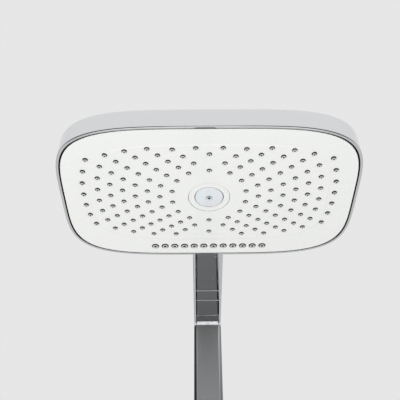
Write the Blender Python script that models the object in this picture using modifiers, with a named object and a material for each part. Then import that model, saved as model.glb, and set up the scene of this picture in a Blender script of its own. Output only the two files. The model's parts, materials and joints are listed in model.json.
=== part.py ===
"""Wall-hung rainfall shower column: wide soft-cornered head on a square arm, column and bar valve.

Frame: metres, +Z up, X to the right of someone facing the wall, +Y into the wall.
The wall is the plane y = 0 and the origin is the centre of the wall bracket's back face.
"""
from math import cos, pi, radians, sin

import bmesh
import bpy
from mathutils import Matrix

MM = 0.001
GAP = 0.3 * MM                      # clearance between neighbouring pieces

# Driving dimensions ---------------------------------------------------------------------
HEAD_Y = -367 * MM                  # head centre in front of the wall
FACE_Z = 15 * MM                    # level of the spray face above the wall bracket
HOUSING_HALF = (151 * MM, 95.2 * MM)
FACE_HALF = (147 * MM, 91.7 * MM)
CORNER_POWER = 4.2                    # squareness of the head's outline
HOUSING_HEIGHT = 31 * MM
HOUSING_WALL = 2.5 * MM
FACE_THICKNESS = 3 * MM
MAT_HALF = (134 * MM, 68 * MM)
MAT_SHIFT = -5 * MM                 # the nozzle field lies a little towards the front
PAN_HALF = (133 * MM, 67 * MM)

NOZZLE_PITCH = 15.9 * MM            # along each ring
NOZZLE_RADIUS = 2.3 * MM
NOZZLE_HOLE = 2.7 * MM
NOZZLE_STEPS = (3, 4, 5, 5, 5, 4, 4, 3)   # off-axis nozzles in each quarter ring
JET_COUNT = 12
JET_PITCH = 10.7 * MM
JET_Y = 79 * MM                     # row of larger jets behind the head's centre
JET_RADIUS = 3.7 * MM
JET_HOLE = 4.2 * MM

BUTTON_RADIUS = 14.3 * MM
BEZEL_RADIUS = 21.1 * MM

BALL_Z = FACE_Z + 33 * MM
BALL_RADIUS = 9 * MM

ARM_WIDTH = 37 * MM
ARM_HEIGHT = 22 * MM
ARM_BOTTOM = 60.3 * MM
ARM_FRONT = HEAD_Y - 28 * MM
ARM_WALL = 1.4 * MM
COLLAR_FRONT = -137.5 * MM
COLLAR_BACK = -115.5 * MM

COLUMN_TOP = 52.3 * MM              # the elbow's neck stands on it
COLUMN_BOTTOM = -1077.5 * MM
COLUMN_FRONT = -67 * MM
COLUMN_BACK = -43 * MM
COLUMN_CORNER = 4 * MM
COLUMN_WALL = 1.5 * MM
COLUMN_Y = (COLUMN_FRONT + COLUMN_BACK) / 2
NECK_BEVEL = 3.6 * MM               # the elbow's neck leans back by this much at its top
RISER_RADIUS = 7 * MM

VALVE_Z = -1100 * MM
VALVE_HEIGHT = 44 * MM
VALVE_DEPTH = 50 * MM
VALVE_HALF_LENGTH = 105 * MM
KNOB_LENGTH = 45 * MM
KNOB_RADIUS = 21 * MM
UNION_SPACING = 150 * MM

ARM_MID = ARM_BOTTOM + ARM_HEIGHT / 2

LOOKS = {                           # base colour, roughness, metallic
    "chrome": ((0.78, 0.79, 0.80), 0.06, 1.0),
    "satin_metal": ((0.42, 0.43, 0.44), 0.42, 0.8),
    "white_gloss": ((0.86, 0.87, 0.86), 0.22, 0.0),
    "silicone": ((0.52, 0.54, 0.55), 0.5, 0.0),
    "clear_button": ((0.72, 0.77, 0.83), 0.18, 0.0),
    "dark_plastic": ((0.10, 0.10, 0.11), 0.45, 0.0),
    "white_plastic": ((0.75, 0.75, 0.74), 0.45, 0.0),
    "brass": ((0.72, 0.55, 0.28), 0.3, 1.0),
    "steel": ((0.60, 0.60, 0.61), 0.3, 1.0),
    "rubber": ((0.03, 0.03, 0.03), 0.7, 0.0),
}


# Scene helpers --------------------------------------------------------------------------
def clear_scene():
    for item in list(bpy.data.objects):
        bpy.data.objects.remove(item, do_unlink=True)


def new_collection(name):
    group = bpy.data.collections.new(name)
    bpy.context.scene.collection.children.link(group)
    return group


def material(name):
    found = bpy.data.materials.get(name)
    if found:
        return found
    colour, roughness, metallic = LOOKS[name]
    made = bpy.data.materials.new(name)
    made.use_nodes = True
    shader = made.node_tree.nodes["Principled BSDF"]
    shader.inputs["Base Color"].default_value = (*colour, 1)
    shader.inputs["Roughness"].default_value = roughness
    shader.inputs["Metallic"].default_value = metallic
    return made


def add(name, mesh, look=None, at=(0, 0, 0), parent=None):
    """A part with a look, or a cutter without one."""
    item = bpy.data.objects.new(name, mesh)
    if look:
        mesh.materials.append(material(look))
        PARTS.objects.link(item)
    else:
        item.hide_render = True
        item.display_type = "WIRE"
        CUTTERS.objects.link(item)
    item.location = at
    if parent:
        item.parent = parent
    return item


def pivot(name, at, parent=None):
    item = bpy.data.objects.new(name, None)
    item.location = at
    item.parent = parent
    PARTS.objects.link(item)
    return item


def smooth(item, angle=35):
    item.data.shade_smooth()
    item.data.set_sharp_from_angle(angle=radians(angle))
    return item


def boolean(target, other, operation):
    step = target.modifiers.new(other.name, "BOOLEAN")
    step.operation = operation
    step.object = other
    step.solver = "EXACT"
    return target


def cut(target, other):
    return boolean(target, other, "DIFFERENCE")


def join(target, other):
    return boolean(target, other, "UNION")


# Shape helpers --------------------------------------------------------------------------
def mesh_of(work, name):
    mesh = bpy.data.meshes.new(name)
    bmesh.ops.recalc_face_normals(work, faces=work.faces)
    work.to_mesh(mesh)
    work.free()
    return mesh


def box_mesh(name, low, high, round_edges=0.0, segments=2, along=None):
    """Box between two corners, with all its edges rounded, or only those along one axis."""
    work = bmesh.new()
    size = [h - l for l, h in zip(low, high)]
    middle = [(h + l) / 2 for l, h in zip(low, high)]
    place = Matrix.Translation(middle) @ Matrix.Diagonal((*size, 1))
    bmesh.ops.create_cube(work, size=1, matrix=place)
    if round_edges:
        edges = [e for e in work.edges if along is None or
                 abs((e.verts[0].co - e.verts[1].co).normalized()[along]) > 0.9]
        bmesh.ops.bevel(work, geom=edges, offset=round_edges, segments=segments,
                        profile=0.5, affect="EDGES")
    return mesh_of(work, name)


def turn_to(axis):
    """Rotation that carries +Z to the named axis."""
    return {"Z": Matrix(), "X": Matrix.Rotation(pi / 2, 4, "Y"),
            "Y": Matrix.Rotation(-pi / 2, 4, "X")}[axis]


def rod_mesh(name, radius, length, start=(0, 0, 0), axis="Z", sides=24):
    """Cylinder from a start point along an axis."""
    work = bmesh.new()
    place = Matrix.Translation(start) @ turn_to(axis) @ Matrix.Translation((0, 0, length / 2))
    bmesh.ops.create_cone(work, cap_ends=True, segments=sides, radius1=radius, radius2=radius,
                          depth=length, matrix=place)
    return mesh_of(work, name)


def rods_mesh(name, places, radius, low, high, sides=5):
    """Many upright cylinders as one mesh."""
    work = bmesh.new()
    for x, y in places:
        middle = Matrix.Translation((x, y, (low + high) / 2))
        bmesh.ops.create_cone(work, cap_ends=True, segments=sides, radius1=radius,
                              radius2=radius, depth=high - low, matrix=middle)
    return mesh_of(work, name)


def turned_mesh(name, profile, sides=24, axis="Z"):
    """Solid of revolution; the profile's (radius, height) points run down the outer side."""
    work = bmesh.new()
    points = [work.verts.new((r, 0, z)) for r, z in profile]
    edges = [work.edges.new(pair) for pair in zip(points, points[1:] + points[:1])]
    bmesh.ops.spin(work, geom=points + edges, cent=(0, 0, 0), axis=(0, 0, 1), angle=2 * pi,
                   steps=sides, use_merge=True, use_duplicate=False)
    bmesh.ops.remove_doubles(work, verts=work.verts, dist=1e-6)
    flat = [f for f in work.faces if f.calc_area() < 1e-12]
    bmesh.ops.delete(work, geom=flat, context="FACES")
    loose = [e for e in work.edges if not e.link_faces]
    bmesh.ops.delete(work, geom=loose, context="EDGES")
    bmesh.ops.transform(work, matrix=turn_to(axis), verts=work.verts)
    return mesh_of(work, name)


def head_outline(half, shift=0.0, sides=48):
    """Points of the head's soft-cornered outline, evenly turned round its centre."""
    points = []
    for step in range(sides):
        angle = 2 * pi * step / sides
        c, s = cos(angle), sin(angle)
        power = 2 / CORNER_POWER
        x = half[0] * abs(c) ** power * (1 if c > 0 else -1)
        y = half[1] * abs(s) ** power * (1 if s > 0 else -1)
        points.append((x, y + shift))
    return points


def plate_mesh(name, outline, low, high, round_top=0.0, segments=3, open_bottom=False):
    """Flat outline extruded between two heights, its upper rim rounded if asked."""
    work = bmesh.new()
    base = work.faces.new([work.verts.new((x, y, low)) for x, y in outline])
    grown = bmesh.ops.extrude_face_region(work, geom=[base], use_keep_orig=True)
    raised = [v for v in grown["geom"] if isinstance(v, bmesh.types.BMVert)]
    bmesh.ops.translate(work, verts=raised, vec=(0, 0, high - low))
    if round_top:
        rim = [e for e in work.edges if all(v.co.z > high - 1e-6 for v in e.verts)]
        bmesh.ops.bevel(work, geom=rim, offset=round_top, segments=segments, profile=0.5,
                        affect="EDGES")
    bmesh.ops.recalc_face_normals(work, faces=work.faces)
    if open_bottom:
        bottom = [f for f in work.faces if all(v.co.z < low + 1e-6 for v in f.verts)]
        bmesh.ops.delete(work, geom=bottom, context="FACES")
    return mesh_of(work, name)


def coil_mesh(name, radius, wire, height, turns, look, at, parent):
    """Compression spring: a wire wound on a helix, from z = 0 up."""
    steps = turns * 8
    line = bpy.data.curves.new(name, "CURVE")
    line.dimensions = "3D"
    line.bevel_depth = wire
    line.bevel_resolution = 0
    line.use_fill_caps = True
    path = line.splines.new("POLY")
    path.points.add(steps)
    for index, point in enumerate(path.points):
        angle = 2 * pi * turns * index / steps
        rise = wire + (height - 2 * wire) * index / steps
        point.co = (radius * cos(angle), radius * sin(angle), rise, 1)
    return add(name, line, look, at, parent)


# Nozzle pattern -------------------------------------------------------------------------
def ring_point(ring, angle):
    """A point of one nozzle ring: rounder in the middle, wider towards the sides."""
    half_x = (25.3 + 12.45 * ring + (2.3 if ring == 8 else 0)) * MM
    half_y = (26.8 + 10.03 * ring) * MM
    power = 2 / 2.4
    return half_x * cos(angle) ** power, half_y * sin(angle) ** power


def walk_ring(ring, distances):
    """Points at given distances along a quarter ring, from the side to the front or back."""
    found = []
    travelled = 0.0
    last = ring_point(ring, 0)
    targets = list(distances)
    for step in range(1, 721):
        here = ring_point(ring, min(pi / 2 * step / 720, pi / 2 - 1e-9))
        travelled += ((here[0] - last[0]) ** 2 + (here[1] - last[1]) ** 2) ** 0.5
        while targets and travelled >= targets[0]:
            found.append(here)
            targets.pop(0)
        last = here
    return found


def nozzle_places():
    """Every small nozzle of the face, ring by ring."""
    places = []
    for ring, steps in enumerate(NOZZLE_STEPS, start=1):
        odd = ring % 2
        start = 0.5 if odd else 1.0
        quarter = walk_ring(ring, [NOZZLE_PITCH * (start + n) for n in range(steps)])
        places += [(sx * x, sy * y) for x, y in quarter for sx in (-1, 1) for sy in (-1, 1)]
        if not odd:
            side = ring_point(ring, 0)[0]
            places += [(side, 0.0), (-side, 0.0)]
        elif ring in (1, 3):
            middle = ring_point(ring, pi / 2)[1]
            places += [(0.0, middle), (0.0, -middle)]
        if ring == 4:
            x = 13 * MM
            places += [(x, -ring_point(4, pi / 2)[1] + 3 * MM),
                       (-x, -ring_point(4, pi / 2)[1] + 3 * MM)]
    return [(x, y - forward_shift(x, y)) for x, y in places]


def forward_shift(x, y):
    """The rings drift forwards as they grow."""
    return 0.7 * MM + 4.9 * MM * (x / (128 * MM)) ** 2 + 3.3 * MM * (y / (60 * MM)) ** 2


def jet_places():
    middle = (JET_COUNT - 1) / 2
    return [((n - middle) * JET_PITCH, JET_Y) for n in range(JET_COUNT)]


# Head -----------------------------------------------------------------------------------
def make_housing(head):
    shell = plate_mesh("head_housing", head_outline(HOUSING_HALF), 0, HOUSING_HEIGHT,
                       round_top=7.5 * MM, segments=4, open_bottom=True)
    item = smooth(add("head_housing", shell, "chrome", parent=head))
    wall = item.modifiers.new("wall", "SOLIDIFY")
    wall.thickness = HOUSING_WALL
    wall.offset = -1
    wall.use_even_offset = True
    neck = rod_mesh("neck_cutter", 16.2 * MM, 8 * MM, (0, 0, HOUSING_HEIGHT - 5 * MM), sides=32)
    cut(item, add("neck_cutter", neck, parent=head))


SCREW_SPOTS = [(sx * 112 * MM, y) for sx in (-1, 1) for y in (-68 * MM, 58 * MM)]


def make_face(head):
    face = plate_mesh("spray_face", head_outline(FACE_HALF), 0, FACE_THICKNESS)
    item = add("spray_face", face, "white_gloss", parent=head)
    low, high = -1 * MM, FACE_THICKNESS + 1 * MM
    holes = rods_mesh("nozzle_cutter", nozzle_places(), NOZZLE_HOLE, low, high)
    cut(item, add("nozzle_cutter", holes, parent=head))
    jets = rods_mesh("jet_cutter", jet_places(), JET_HOLE, low, high, sides=8)
    cut(item, add("jet_cutter", jets, parent=head))
    well = rod_mesh("well_cutter", BEZEL_RADIUS + GAP, 8 * MM, (0, 0, -2 * MM), sides=32)
    cut(item, add("well_cutter", well, parent=head))
    bosses = rods_mesh("boss_union", SCREW_SPOTS, 3.6 * MM, 2 * MM, 6 * MM, sides=8)
    join(item, add("boss_union", bosses, parent=head))
    bores = rods_mesh("boss_cutter", SCREW_SPOTS, 1.5 * MM, 1.5 * MM, 7 * MM, sides=6)
    cut(item, add("boss_cutter", bores, parent=head))


def make_mat(head):
    low, high = FACE_THICKNESS + GAP, FACE_THICKNESS + 1.5 * MM
    sheet = plate_mesh("nozzle_mat", head_outline(MAT_HALF, MAT_SHIFT), low, high)
    item = add("nozzle_mat", sheet, "silicone", parent=head)
    nubs = rods_mesh("nub_union", nozzle_places(), NOZZLE_RADIUS, -1.2 * MM, low + 0.6 * MM)
    join(item, add("nub_union", nubs, parent=head))
    middle = rod_mesh("mat_cutter", BEZEL_RADIUS + 1.5 * MM, 5 * MM, (0, 0, low - 1 * MM), sides=32)
    cut(item, add("mat_cutter", middle, parent=head))


def make_jets(head):
    low, high = FACE_THICKNESS + GAP, FACE_THICKNESS + 1.5 * MM
    strip = box_mesh("jet_strip", (-65 * MM, JET_Y - 5.5 * MM, low), (65 * MM, JET_Y + 5.5 * MM, high),
                     2 * MM, 2, along=2)
    item = add("jet_strip", strip, "silicone", parent=head)
    nubs = rods_mesh("jet_union", jet_places(), JET_RADIUS, -0.6 * MM, low + 0.6 * MM, sides=8)
    join(item, add("jet_union", nubs, parent=head))
    bores = rods_mesh("jet_bore_cutter", jet_places(), 1.2 * MM, -2 * MM, high + 1 * MM, sides=6)
    cut(item, add("jet_bore_cutter", bores, parent=head))
    low, high = high + GAP, 14 * MM
    body = box_mesh("jet_manifold", (-64 * MM, JET_Y - 5 * MM, low), (64 * MM, JET_Y + 5 * MM, high),
                    2 * MM, 2, along=2)
    item = add("jet_manifold", body, "white_plastic", parent=head)
    room = box_mesh("manifold_cutter", (-62 * MM, JET_Y - 3.4 * MM, low - 1 * MM),
                    (62 * MM, JET_Y + 3.4 * MM, high - 1.6 * MM))
    cut(item, add("manifold_cutter", room, parent=head))


def make_chamber(head):
    low = 5.7 * MM
    seal = plate_mesh("chamber_seal", head_outline(PAN_HALF, MAT_SHIFT, 32), 4.8 * MM, 5.4 * MM)
    item = add("chamber_seal", seal, "rubber", parent=head)
    inner = [half - 3 * MM for half in PAN_HALF]
    hole = plate_mesh("seal_cutter", head_outline(inner, MAT_SHIFT, 32), 4 * MM, 7 * MM)
    cut(item, add("seal_cutter", hole, parent=head))
    pan = plate_mesh("spray_chamber", head_outline(PAN_HALF, MAT_SHIFT, 32), low, 16.5 * MM,
                     round_top=3 * MM, segments=1, open_bottom=True)
    item = add("spray_chamber", pan, "white_plastic", parent=head)
    wall = item.modifiers.new("wall", "SOLIDIFY")
    wall.thickness = 2 * MM
    wall.offset = -1
    middle = rod_mesh("chamber_cutter", 16.2 * MM, 8 * MM, (0, 0, 12 * MM), sides=32)
    cut(item, add("chamber_cutter", middle, parent=head))
    ears = rods_mesh("ear_union", SCREW_SPOTS, 8 * MM, 6.3 * MM, 9 * MM, sides=10)
    join(item, add("ear_union", ears, parent=head))
    bores = rods_mesh("ear_cutter", SCREW_SPOTS, 1.5 * MM, 5 * MM, 10 * MM, sides=6)
    cut(item, add("ear_cutter", bores, parent=head))
    for number, (x, y) in enumerate(SCREW_SPOTS, start=1):
        screw("face_screw_%d" % number, (x, y, 9.3 * MM), 2.8 * MM, 1.2 * MM, 7 * MM, head)


def screw(name, at, head_radius, radius, length, parent=None, axis="Z"):
    """Pan-head screw, its shank running down from the underside of its head."""
    profile = [(0, 0.75 * head_radius), (0.7 * head_radius, 0.7 * head_radius),
               (head_radius, 0.3 * head_radius), (head_radius, 0), (radius, 0),
               (radius, -length), (0, -length)]
    return smooth(add(name, turned_mesh(name, profile, 8, axis), "steel", at, parent))


def hex_nut(name, radius, at, length, bore, axis, look):
    """Hexagonal nut from a start point along an axis, with a round bore right through."""
    item = add(name, rod_mesh(name, radius, length, axis=axis, sides=6), look, at)
    start = [-2 * MM if letter == axis else 0 for letter in "XYZ"]
    hole = rod_mesh(name + "_bore", bore, length + 4 * MM, start, axis, 24)
    return cut(item, add(name + "_bore", hole, at=at))


def make_button(head, button):
    bezel = [(BEZEL_RADIUS, FACE_THICKNESS - GAP), (BEZEL_RADIUS, 0.25 * MM), (20.5 * MM, 0.1 * MM),
             (19.8 * MM, 0.7 * MM), (15.6 * MM, 0.7 * MM), (15 * MM, 0.3 * MM),
             (14.8 * MM, 0.6 * MM), (14.8 * MM, FACE_THICKNESS - GAP)]
    smooth(add("button_bezel", turned_mesh("button_bezel", bezel, 24), "white_gloss", parent=head))
    lens = [(4 * MM, 8.4 * MM), (4 * MM, 2.6 * MM), (13.8 * MM, 2.6 * MM), (BUTTON_RADIUS, 2.1 * MM),
            (BUTTON_RADIUS, 0.1 * MM), (13.5 * MM, -0.5 * MM), (9 * MM, -0.95 * MM),
            (2.9 * MM, -1.1 * MM), (2.9 * MM, 1 * MM), (1.2 * MM, 1 * MM), (1.2 * MM, 8.4 * MM)]
    smooth(add("select_button", turned_mesh("select_button", lens, 24), "clear_button", parent=button))
    tip = [(2.6 * MM, 0.7 * MM), (2.6 * MM, -1.4 * MM), (2.1 * MM, -1.7 * MM), (0.8 * MM, -1.7 * MM),
           (0.8 * MM, 0.7 * MM)]
    smooth(add("centre_nozzle", turned_mesh("centre_nozzle", tip, 12), "silicone", parent=button))
    coil_mesh("button_spring", 6.6 * MM, 0.5 * MM, 6 * MM, 3, "steel", (0, 0, 2.95 * MM), head)
    core = [(13 * MM, 21.2 * MM), (15.5 * MM, 20.2 * MM), (15.5 * MM, 9.3 * MM), (4.5 * MM, 9.3 * MM),
            (4.5 * MM, 21.2 * MM)]
    smooth(add("diverter_cartridge", turned_mesh("diverter_cartridge", core, 16), "white_plastic",
               parent=head))


def make_ball_joint(head, stud):
    """Everything here is turned about the ball's centre, which is the head's pivot."""
    seat_bottom = -11.5 * MM
    seat_radius = BALL_RADIUS + GAP
    arc = [(seat_radius * cos(a), seat_radius * sin(a)) for a in (radians(-d) for d in range(60, -1, -15))]
    cup = [(14 * MM, 0), (14 * MM, seat_bottom), (4 * MM, seat_bottom), (4 * MM, -8.2 * MM)] + arc
    smooth(add("ball_socket", turned_mesh("ball_socket", cup, 16), "dark_plastic", parent=head))
    throat = [(15.6 * MM, 6.6 * MM), (15.6 * MM, 0.3 * MM), (9.6 * MM, 0.3 * MM), (8.7 * MM, 3.9 * MM),
              (7.7 * MM, 5.7 * MM), (8.2 * MM, 8.3 * MM), (13.4 * MM, 8.3 * MM)]
    smooth(add("ball_nut", turned_mesh("ball_nut", throat, 24), "chrome", parent=head))
    bulge = [(BALL_RADIUS * cos(radians(d)), BALL_RADIUS * sin(radians(d))) for d in range(48, -61, -12)]
    stem = [(6 * MM, 21.5 * MM), (6 * MM, 12.2 * MM), (5.5 * MM, 11.6 * MM), (5.5 * MM, 7.4 * MM)]
    bore = [(3.4 * MM, -7.8 * MM), (3.4 * MM, 15 * MM), (4.2 * MM, 15 * MM), (4.2 * MM, 21.5 * MM)]
    smooth(add("ball_stud", turned_mesh("ball_stud", stem + bulge + bore, 16), "chrome", parent=stud))
    disc = [(3.8 * MM, 20.5 * MM), (3.8 * MM, 15.4 * MM), (1 * MM, 15.4 * MM), (1 * MM, 20.5 * MM)]
    smooth(add("flow_limiter", turned_mesh("flow_limiter", disc, 10), "dark_plastic", parent=stud))
    ring = [(8.1 * MM, 15.6 * MM), (8.1 * MM, 14.2 * MM), (6.35 * MM, 14.2 * MM), (6.35 * MM, 15.6 * MM)]
    smooth(add("stud_seal", turned_mesh("stud_seal", ring, 16), "rubber", (0, HEAD_Y, BALL_Z)))


# Arm ------------------------------------------------------------------------------------
def arm_box(name, front, back, inset=0.0, radius=2.5 * MM):
    half = ARM_WIDTH / 2 - inset
    low = (-half, front, ARM_BOTTOM + inset)
    high = (half, back, ARM_BOTTOM + ARM_HEIGHT - inset)
    return box_mesh(name, low, high, radius, 3, along=1)


def make_arm():
    tube = smooth(add("arm_tube", arm_box("arm_tube", ARM_FRONT, COLLAR_FRONT - GAP), "chrome"))
    room = arm_box("arm_room", ARM_FRONT - 1 * MM, COLLAR_FRONT + 1 * MM, ARM_WALL, 1.2 * MM)
    cut(tube, add("arm_room", room))
    below = rod_mesh("arm_stud_cutter", 8 * MM, 6 * MM, (0, HEAD_Y, ARM_BOTTOM - 3 * MM), sides=24)
    cut(tube, add("arm_stud_cutter", below))
    cap = box_mesh("arm_end_cap", (-ARM_WIDTH / 2, ARM_FRONT - 2.3 * MM, ARM_BOTTOM),
                   (ARM_WIDTH / 2, ARM_FRONT - GAP, ARM_BOTTOM + ARM_HEIGHT), 2.5 * MM, 3, along=1)
    item = smooth(add("arm_end_cap", cap, "chrome"))
    inset = ARM_WALL + GAP
    lug = arm_box("cap_union", ARM_FRONT - 1 * MM, ARM_FRONT + 5 * MM, inset, 1 * MM)
    join(item, add("cap_union", lug))
    collar = smooth(add("arm_collar", arm_box("arm_collar", COLLAR_FRONT, COLLAR_BACK - GAP), "chrome"))
    room = arm_box("collar_room", COLLAR_FRONT - 1 * MM, COLLAR_BACK + 1 * MM, ARM_WALL, 1.2 * MM)
    cut(collar, add("collar_room", room))
    make_arm_outlet(inset)
    make_elbow(inset)
    pipe = [(6 * MM, 1), (6 * MM, 0), (4.8 * MM, 0), (4.8 * MM, 1)]
    start, end = HEAD_Y + 18 * MM, COLLAR_BACK + 20 * MM
    pipe = [(r, start + t * (end - start)) for r, t in pipe]
    smooth(add("arm_pipe", turned_mesh("arm_pipe", pipe, 12, "Y"), "white_plastic", (0, 0, ARM_MID)))


def make_arm_outlet(inset):
    block = arm_box("arm_outlet", HEAD_Y - 20 * MM, HEAD_Y + 24 * MM, inset, 1 * MM)
    item = smooth(add("arm_outlet", block, "brass"))
    down = rod_mesh("outlet_down_cutter", 6.35 * MM, 14 * MM, (0, HEAD_Y, ARM_BOTTOM - 2 * MM), sides=24)
    cut(item, add("outlet_down_cutter", down))
    groove = rod_mesh("outlet_seal_cutter", 8.5 * MM, 4.6 * MM, (0, HEAD_Y, ARM_BOTTOM - 1 * MM), sides=24)
    cut(item, add("outlet_seal_cutter", groove))
    back = rod_mesh("outlet_back_cutter", 6.4 * MM, 27 * MM, (0, HEAD_Y - 2 * MM, ARM_MID), "Y", 16)
    cut(item, add("outlet_back_cutter", back))


def neck_mesh():
    """Short neck under the elbow, as wide as the column, whose front face leans back."""
    low, high = COLUMN_TOP + GAP, ARM_BOTTOM + 1 * MM
    mesh = box_mesh("neck_union", (-ARM_WIDTH / 2, COLUMN_FRONT, low), (ARM_WIDTH / 2, COLUMN_BACK, high),
                    COLUMN_CORNER, 3, along=2)
    depth = COLUMN_BACK - COLUMN_FRONT
    lean = NECK_BEVEL * (high - low) / (ARM_BOTTOM - low)
    for corner in mesh.vertices:
        if corner.co.z > (low + high) / 2:
            corner.co.y = COLUMN_BACK + (corner.co.y - COLUMN_BACK) * (1 - lean / depth)
    return mesh


def make_elbow(inset):
    item = smooth(add("arm_elbow", arm_box("arm_elbow", COLLAR_BACK, COLUMN_BACK), "chrome"))
    tenon = arm_box("tenon_union", COLLAR_FRONT - 12 * MM, COLLAR_BACK + 2 * MM, inset, 1 * MM)
    join(item, add("tenon_union", tenon))
    room = COLUMN_WALL + GAP
    spigot = box_mesh("spigot_union", (-ARM_WIDTH / 2 + room, COLUMN_FRONT + room, COLUMN_TOP - 28 * MM),
                      (ARM_WIDTH / 2 - room, COLUMN_BACK - room, ARM_BOTTOM + 2 * MM), 2.2 * MM, 2, along=2)
    join(item, add("spigot_union", spigot))
    join(item, add("neck_union", neck_mesh()))
    front = COLLAR_FRONT - 13 * MM
    along = rod_mesh("elbow_bore_y", 6.4 * MM, COLUMN_Y - front + 6 * MM, (0, front, ARM_MID), "Y", 16)
    cut(item, add("elbow_bore_y", along))
    up = rod_mesh("elbow_bore_z", RISER_RADIUS + 0.4 * MM, ARM_MID - COLUMN_TOP + 30 * MM,
                  (0, COLUMN_Y, COLUMN_TOP - 30 * MM), sides=16)
    cut(item, add("elbow_bore_z", up))
    hole = rod_mesh("elbow_screw_cutter", 1.9 * MM, 3.4 * MM, (0, COLUMN_BACK - 5 * MM, 40 * MM), "Y", 12)
    cut(item, add("elbow_screw_cutter", hole))


# Column ---------------------------------------------------------------------------------
def make_column():
    half = ARM_WIDTH / 2
    tube = box_mesh("column_tube", (-half, COLUMN_FRONT, COLUMN_BOTTOM), (half, COLUMN_BACK, COLUMN_TOP),
                    COLUMN_CORNER, 3, along=2)
    item = smooth(add("column_tube", tube, "satin_metal"))
    inner = half - COLUMN_WALL
    room = box_mesh("column_room", (-inner, COLUMN_FRONT + COLUMN_WALL, COLUMN_BOTTOM - 1 * MM),
                    (inner, COLUMN_BACK - COLUMN_WALL, COLUMN_TOP + 1 * MM), 2.5 * MM, 2, along=2)
    cut(item, add("column_room", room))
    slot = box_mesh("column_slot", (-10 * MM, COLUMN_BACK - 3 * MM, -8 * MM),
                    (10 * MM, COLUMN_BACK + 2 * MM, 8 * MM))
    cut(item, add("column_slot", slot))
    hole = rod_mesh("column_screw_cutter", 1.9 * MM, 4 * MM, (0, COLUMN_BACK - 3 * MM, 40 * MM), "Y", 12)
    cut(item, add("column_screw_cutter", hole))
    bolt = rod_mesh("elbow_screw", 1.5 * MM, 4 * MM, (0, COLUMN_BACK - 4.4 * MM, 40 * MM), "Y", 12)
    smooth(add("elbow_screw", bolt, "steel"))
    low, high = -1066 * MM, COLUMN_TOP - 2 * MM
    pipe = [(RISER_RADIUS, high), (RISER_RADIUS, low), (RISER_RADIUS - 1.2 * MM, low),
            (RISER_RADIUS - 1.2 * MM, high)]
    smooth(add("riser_pipe", turned_mesh("riser_pipe", pipe, 12), "brass", (0, COLUMN_Y, 0)))
    hex_nut("riser_nut", 10.2 * MM, (0, COLUMN_Y, -1066 * MM), 16 * MM, RISER_RADIUS + 0.5 * MM, "Z", "brass")
    seal = [(9.6 * MM, -1066.3 * MM), (9.6 * MM, -1067.6 * MM), (6.8 * MM, -1067.6 * MM),
            (6.8 * MM, -1066.3 * MM)]
    smooth(add("riser_seal", turned_mesh("riser_seal", seal, 12), "rubber", (0, COLUMN_Y, 0)))


def make_bracket():
    half_x, half_z = 15 * MM, 25 * MM
    plate = box_mesh("bracket_plate", (-half_x, -8 * MM, -half_z), (half_x, 0, half_z), 3 * MM, 2, along=1)
    item = add("bracket_plate", plate, "steel")
    for number, z in enumerate((-18 * MM, 18 * MM), start=1):
        hole = rod_mesh("anchor_cutter_%d" % number, 2.4 * MM, 10 * MM, (0, -9 * MM, z), "Y", 12)
        cut(item, add("anchor_cutter_%d" % number, hole))
    block = box_mesh("wall_bracket", (-14 * MM, COLUMN_BACK + GAP, -24 * MM), (14 * MM, -8.3 * MM, 24 * MM),
                     3 * MM, 3, along=1)
    item = smooth(add("wall_bracket", block, "chrome"))
    tongue = box_mesh("tongue_union", (-9.6 * MM, COLUMN_BACK - 5 * MM, -7.6 * MM),
                      (9.6 * MM, COLUMN_BACK + 3 * MM, 7.6 * MM))
    join(item, add("tongue_union", tongue))
    for number, x in enumerate((-8 * MM, 8 * MM), start=1):
        through = rod_mesh("bracket_bore_%d" % number, 2 * MM, 12 * MM, (x, -14 * MM, 0), "Y", 12)
        cut(item, add("bracket_bore_%d" % number, through))
        blind = rod_mesh("plate_bore_%d" % number, 2 * MM, 6 * MM, (x, -9 * MM, 0), "Y", 12)
        cut(bpy.data.objects["bracket_plate"], add("plate_bore_%d" % number, blind))
        pin = rod_mesh("bracket_screw_%d" % number, 1.7 * MM, 9 * MM, (x, -13 * MM, 0), "Y", 12)
        smooth(add("bracket_screw_%d" % number, pin, "steel"))
    grub = rod_mesh("grub_cutter", 2 * MM, 12 * MM, (0, -20 * MM, -25 * MM), sides=12)
    cut(item, add("grub_cutter", grub))
    stub = rod_mesh("bracket_grub_screw", 1.7 * MM, 8 * MM, (0, -20 * MM, -23.5 * MM), sides=12)
    smooth(add("bracket_grub_screw", stub, "steel"))


# Valve ----------------------------------------------------------------------------------
def valve_bore(name, item, radius, near, far, side):
    """Bore along X between two distances from the middle, on one side."""
    start = near if side > 0 else -far
    bore = rod_mesh(name, radius, far - near, (start, COLUMN_Y, VALVE_Z), "X", 24)
    return cut(item, add(name, bore))


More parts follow.
